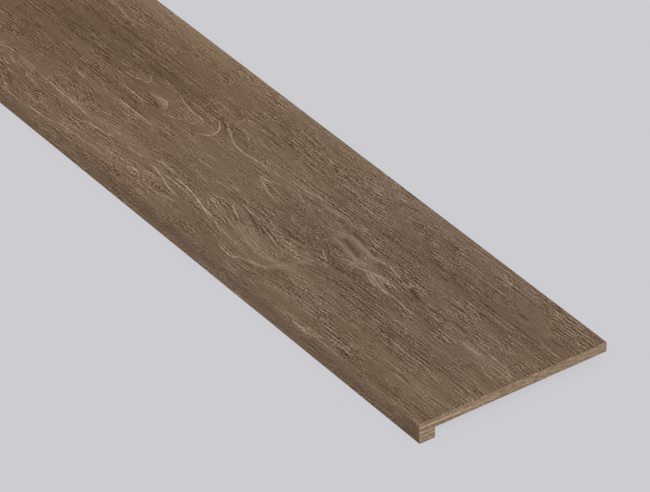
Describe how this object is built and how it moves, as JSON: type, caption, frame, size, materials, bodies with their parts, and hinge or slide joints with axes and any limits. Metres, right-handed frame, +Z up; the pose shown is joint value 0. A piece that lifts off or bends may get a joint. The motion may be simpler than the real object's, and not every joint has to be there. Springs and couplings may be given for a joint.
{
  "type": "stair tread",
  "caption": "Wood-look stair tread: a flat rectangular panel with a deeper, eased square nosing hanging below its front edge, closed in section like a lying L.",
  "frame": {"origin": "middle of the footprint, at the foot of the nosing", "axes": "+X along the tread's length, -Y out of the nosing's front face, +Z up out of the walking face"},
  "size_m": [1.2, 0.305, 0.0318],
  "materials": {
    "tread_oak": "matt limed oak in a mid grey-brown, fine grain along the length, with paler limed pores and darker streaks"
  },
  "bodies": {
    "root": {"tread": "tread_oak"}
  },
  "joints": []
}
